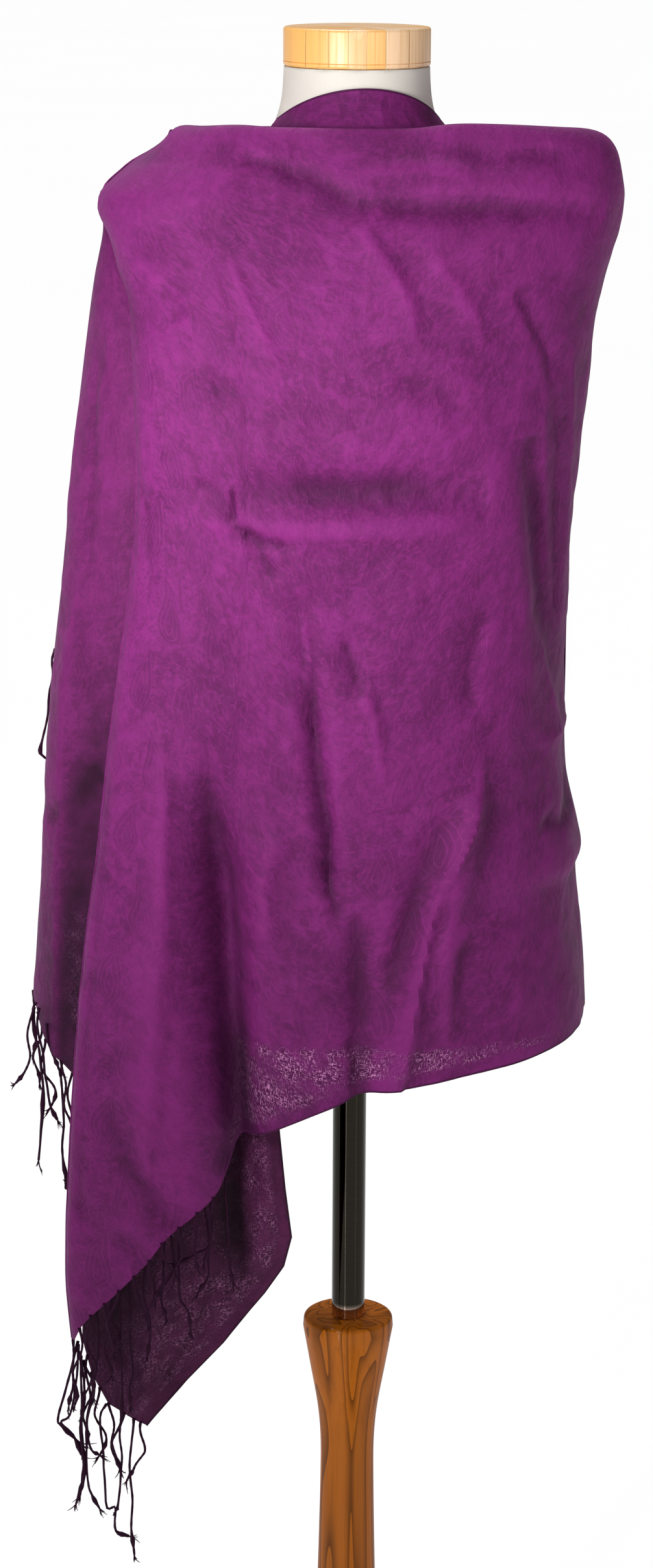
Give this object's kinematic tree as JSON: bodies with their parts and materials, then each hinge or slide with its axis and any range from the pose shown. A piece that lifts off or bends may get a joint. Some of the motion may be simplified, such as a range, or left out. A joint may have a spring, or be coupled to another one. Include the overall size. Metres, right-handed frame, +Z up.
{
  "type": "shawl scarf on a dress form",
  "caption": "Long fringed shawl scarf wrapped round a limbless dress form on a turned wooden post and round base.",
  "frame": {"origin": "on the floor, under the axis of the stand", "axes": "+Z up, the front of the form faces -Y, +X to the right of someone looking at the front"},
  "size_m": [0.4516, 0.38, 1.5718],
  "materials": {
    "scarf_cloth": "soft woven jacquard with a low sheen",
    "fringe_yarn": "twisted yarn",
    "form_cover": "matt off-white cover",
    "cap_wood": "clear satin",
    "stand_wood": "gloss varnish",
    "pole_metal": "polished"
  },
  "bodies": {
    "root": {"form_body": "form_cover", "neck_cap": "cap_wood", "form_pole": "pole_metal", "stand_post": "stand_wood", "stand_base": "stand_wood", "scarf_collar": "scarf_cloth", "scarf_front": "scarf_cloth", "scarf_front_return": "scarf_cloth", "scarf_side": "scarf_cloth", "scarf_tail": "scarf_cloth", "scarf_back": "scarf_cloth", "scarf_back_corner": "scarf_cloth", "fringe_front": "fringe_yarn", "fringe_side": "fringe_yarn", "fringe_tail": "fringe_yarn", "fringe_back": "fringe_yarn"}
  },
  "joints": []
}
